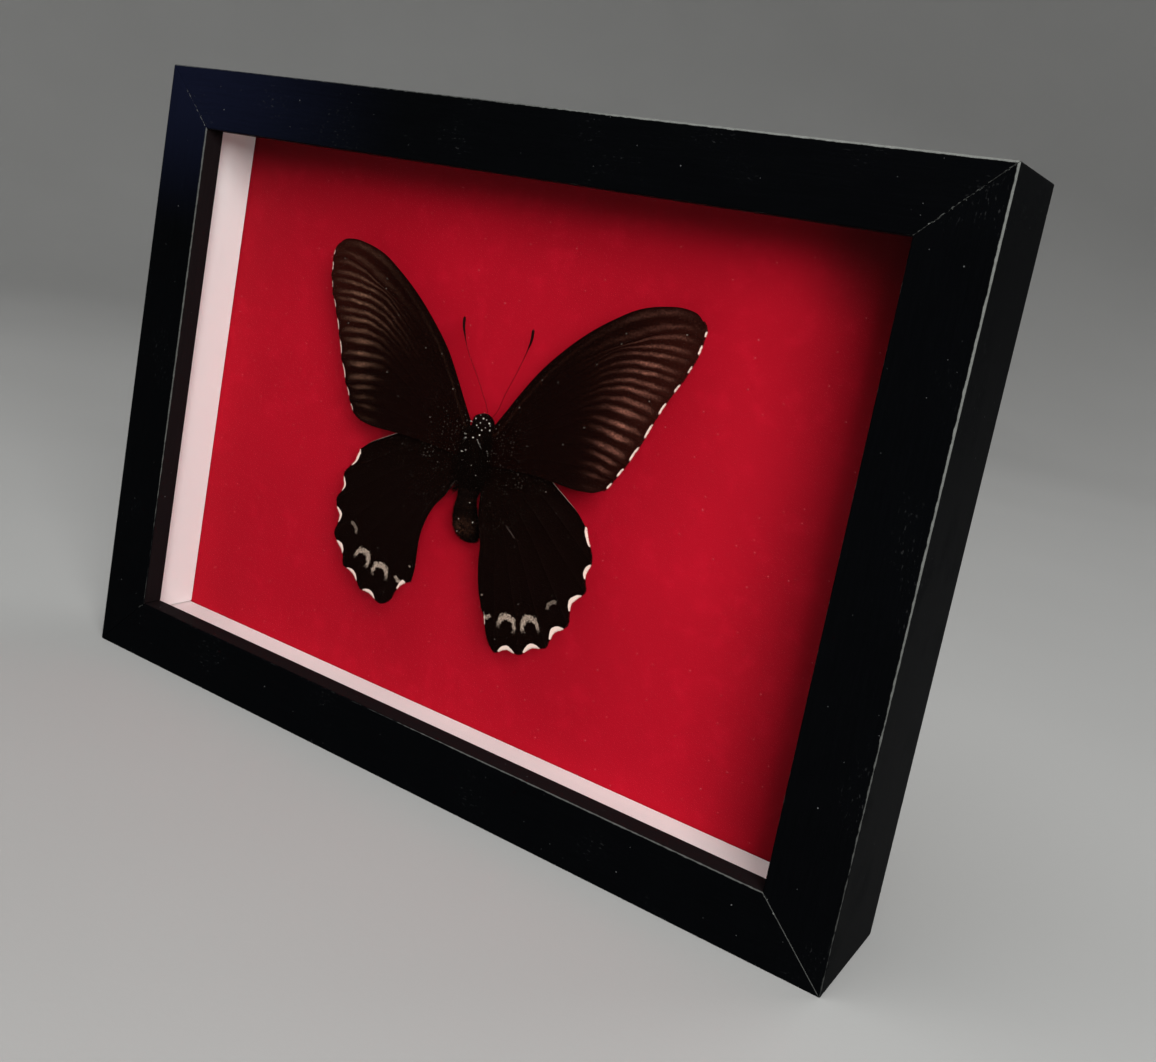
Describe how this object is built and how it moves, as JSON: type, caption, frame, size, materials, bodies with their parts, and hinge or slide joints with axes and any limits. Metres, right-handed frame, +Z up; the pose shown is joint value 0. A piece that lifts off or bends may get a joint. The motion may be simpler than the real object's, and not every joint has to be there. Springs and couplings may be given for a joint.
{
  "type": "framed butterfly specimen",
  "caption": "Black mitred box frame with glass, white spacers and a red card, showing a spread black butterfly with bronze-rayed forewings and white-scalloped hindwings.",
  "frame": {"origin": "middle of the bottom edge, half-way through the frame's depth", "axes": "+X to the viewer's right, +Z up, the glass faces -Y and the back faces +Y"},
  "size_m": [0.197, 0.03, 0.147],
  "materials": {
    "lacquered_wood": "black satin lacquer, rubbed pale along the outer edges",
    "glass": "clear float glass, polished",
    "spacer_board": "matt white",
    "red_card": "matt crimson",
    "hardboard": "raw brown hardboard, smooth side out",
    "steel": "bright zinc-plated sheet steel",
    "brassed_steel": "brass-plated sheet steel",
    "wing_scales": "velvety black-brown scales with bronze rays and white fringe marks",
    "insect_body": "hairy black, dotted white, brown at the tail",
    "antenna": "dark red-brown, slightly glossy"
  },
  "bodies": {
    "root": {"rail_top": "lacquered_wood", "rail_bottom": "lacquered_wood", "stile_left": "lacquered_wood", "stile_right": "lacquered_wood", "glass_pane": "glass", "spacer_top": "spacer_board", "spacer_bottom": "spacer_board", "spacer_left": "spacer_board", "spacer_right": "spacer_board", "background_card": "red_card", "back_board": "hardboard", "retaining_point_1": "steel", "retaining_point_2": "steel", "retaining_point_3": "steel", "retaining_point_4": "steel", "retaining_point_5": "steel", "retaining_point_6": "steel", "hanger_plate": "brassed_steel", "hanger_pin_left": "brassed_steel", "hanger_pin_right": "brassed_steel", "butterfly_body": "insect_body", "forewing_left": "wing_scales", "forewing_right": "wing_scales", "hindwing_left": "wing_scales", "hindwing_right": "wing_scales", "antenna_left": "antenna", "antenna_right": "antenna"}
  },
  "joints": []
}
